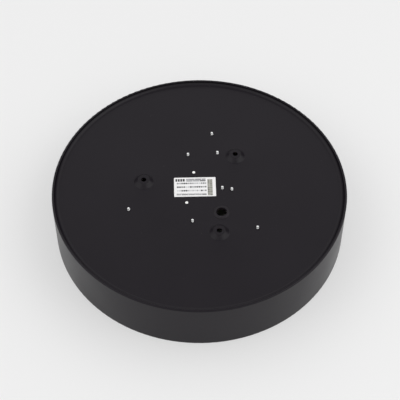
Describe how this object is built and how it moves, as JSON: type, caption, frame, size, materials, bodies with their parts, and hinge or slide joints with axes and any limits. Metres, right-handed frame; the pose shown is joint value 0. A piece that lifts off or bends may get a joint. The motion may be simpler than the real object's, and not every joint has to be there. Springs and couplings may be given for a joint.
{
  "type": "surface-mounted ceiling light",
  "caption": "Round drum-shaped ceiling light with a recessed pressed back plate, a ring-shaped light board, a driver and a shade with an opal diffuser that pulls off its spring clips.",
  "frame": {"origin": "middle of the front rim, which lies on z = 0", "axes": "+Z along the drum's axis towards the ceiling side, +X along the driver, +Y towards one ceiling screw boss"},
  "size_m": [0.285, 0.285, 0.055],
  "materials": {
    "black_powder_coat": "fine matte powder coat on steel",
    "opal_acrylic": "satin opal acrylic",
    "spring_steel": "rolled spring strip",
    "black_rubber": "moulded rubber",
    "label_foil": "printed white foil",
    "white_board": "white solder mask on aluminium",
    "emitter_resin": "yellow phosphor resin in a white cup",
    "white_nylon": "moulded nylon",
    "zinc_plate": "bright zinc plate on steel",
    "driver_plastic": "moulded polycarbonate",
    "circuit_laminate": "phenolic laminate",
    "ferrite": "sintered ferrite",
    "capacitor_sleeve": "shrink sleeve on aluminium",
    "terminal_brass": "turned brass",
    "tinned_copper": "tin plate on copper",
    "brown_insulation": "extruded vinyl",
    "blue_insulation": "extruded vinyl",
    "earth_insulation": "extruded vinyl, green with a yellow stripe",
    "red_insulation": "extruded vinyl",
    "black_insulation": "extruded vinyl"
  },
  "bodies": {
    "chassis": {"back_plate": "black_powder_coat", "cable_grommet": "black_rubber", "rating_label": "label_foil", "shade_clips": "spring_steel", "led_board": "white_board", "led_emitters": "emitter_resin", "led_connector": "white_nylon", "led_board_screws": "zinc_plate", "driver_base": "driver_plastic", "driver_cover": "driver_plastic", "driver_circuit_board": "circuit_laminate", "driver_transformer": "ferrite", "driver_capacitors": "capacitor_sleeve", "driver_screws": "zinc_plate", "terminal_block": "white_nylon", "terminal_sleeves": "terminal_brass", "terminal_clamp_screws": "zinc_plate", "terminal_block_screws": "zinc_plate", "earth_screw": "zinc_plate", "earth_washer": "spring_steel", "earth_lug": "tinned_copper", "live_lead": "brown_insulation", "neutral_lead": "blue_insulation", "earth_lead": "earth_insulation", "led_positive_lead": "red_insulation", "led_negative_lead": "black_insulation"},
    "shade": {"drum_band": "black_powder_coat", "support_ring": "black_powder_coat", "diffuser": "opal_acrylic", "diffuser_retaining_ring": "spring_steel"}
  },
  "joints": [
    {"name": "shade_pull", "type": "slide", "parent": "chassis", "child": "shade", "axis": [0, 0, -1], "range_m": [0, 0.1], "deforming": ["shade_clips"]}
  ]
}
